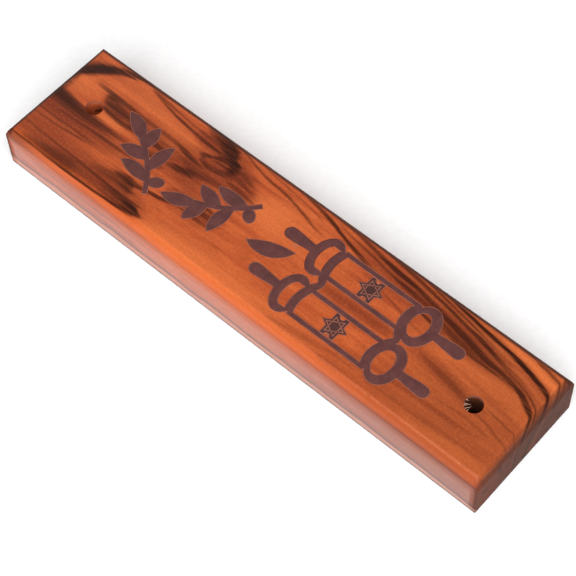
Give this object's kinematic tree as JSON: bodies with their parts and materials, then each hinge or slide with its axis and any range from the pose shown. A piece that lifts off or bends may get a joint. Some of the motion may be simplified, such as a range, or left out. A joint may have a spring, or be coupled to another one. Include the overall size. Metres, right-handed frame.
{
  "type": "mezuzah case",
  "caption": "Flat olive-wood case with chamfered front, filled engraved ornament, sliding dovetailed back cover and a rolled parchment inside.",
  "frame": {"origin": "middle of the flat back face", "axes": "+Y towards the top end of the case, +X to its right side seen from the front, +Z out of the engraved front"},
  "size_m": [0.027, 0.115, 0.011],
  "materials": {
    "olive_wood": "oiled and polished olive wood with dark figure",
    "cover_wood": "sanded olive wood, satin",
    "parchment": "matte, thin sheet",
    "filler": "hardened dark purple-brown filler, matte"
  },
  "bodies": {
    "case": {"case_body": "olive_wood", "parchment_scroll": "parchment", "upper_twig_inlay": "filler", "lower_twig_inlay": "filler", "leaf_inlay": "filler", "scroll_motif_inlay": "filler", "star_inlay_left": "filler", "star_inlay_right": "filler"},
    "cover": {"back_cover": "cover_wood"}
  },
  "joints": [
    {"name": "cover_slide", "type": "slide", "parent": "case", "child": "cover", "axis": [0, 1, 0], "range_m": [0, 0.101]}
  ]
}
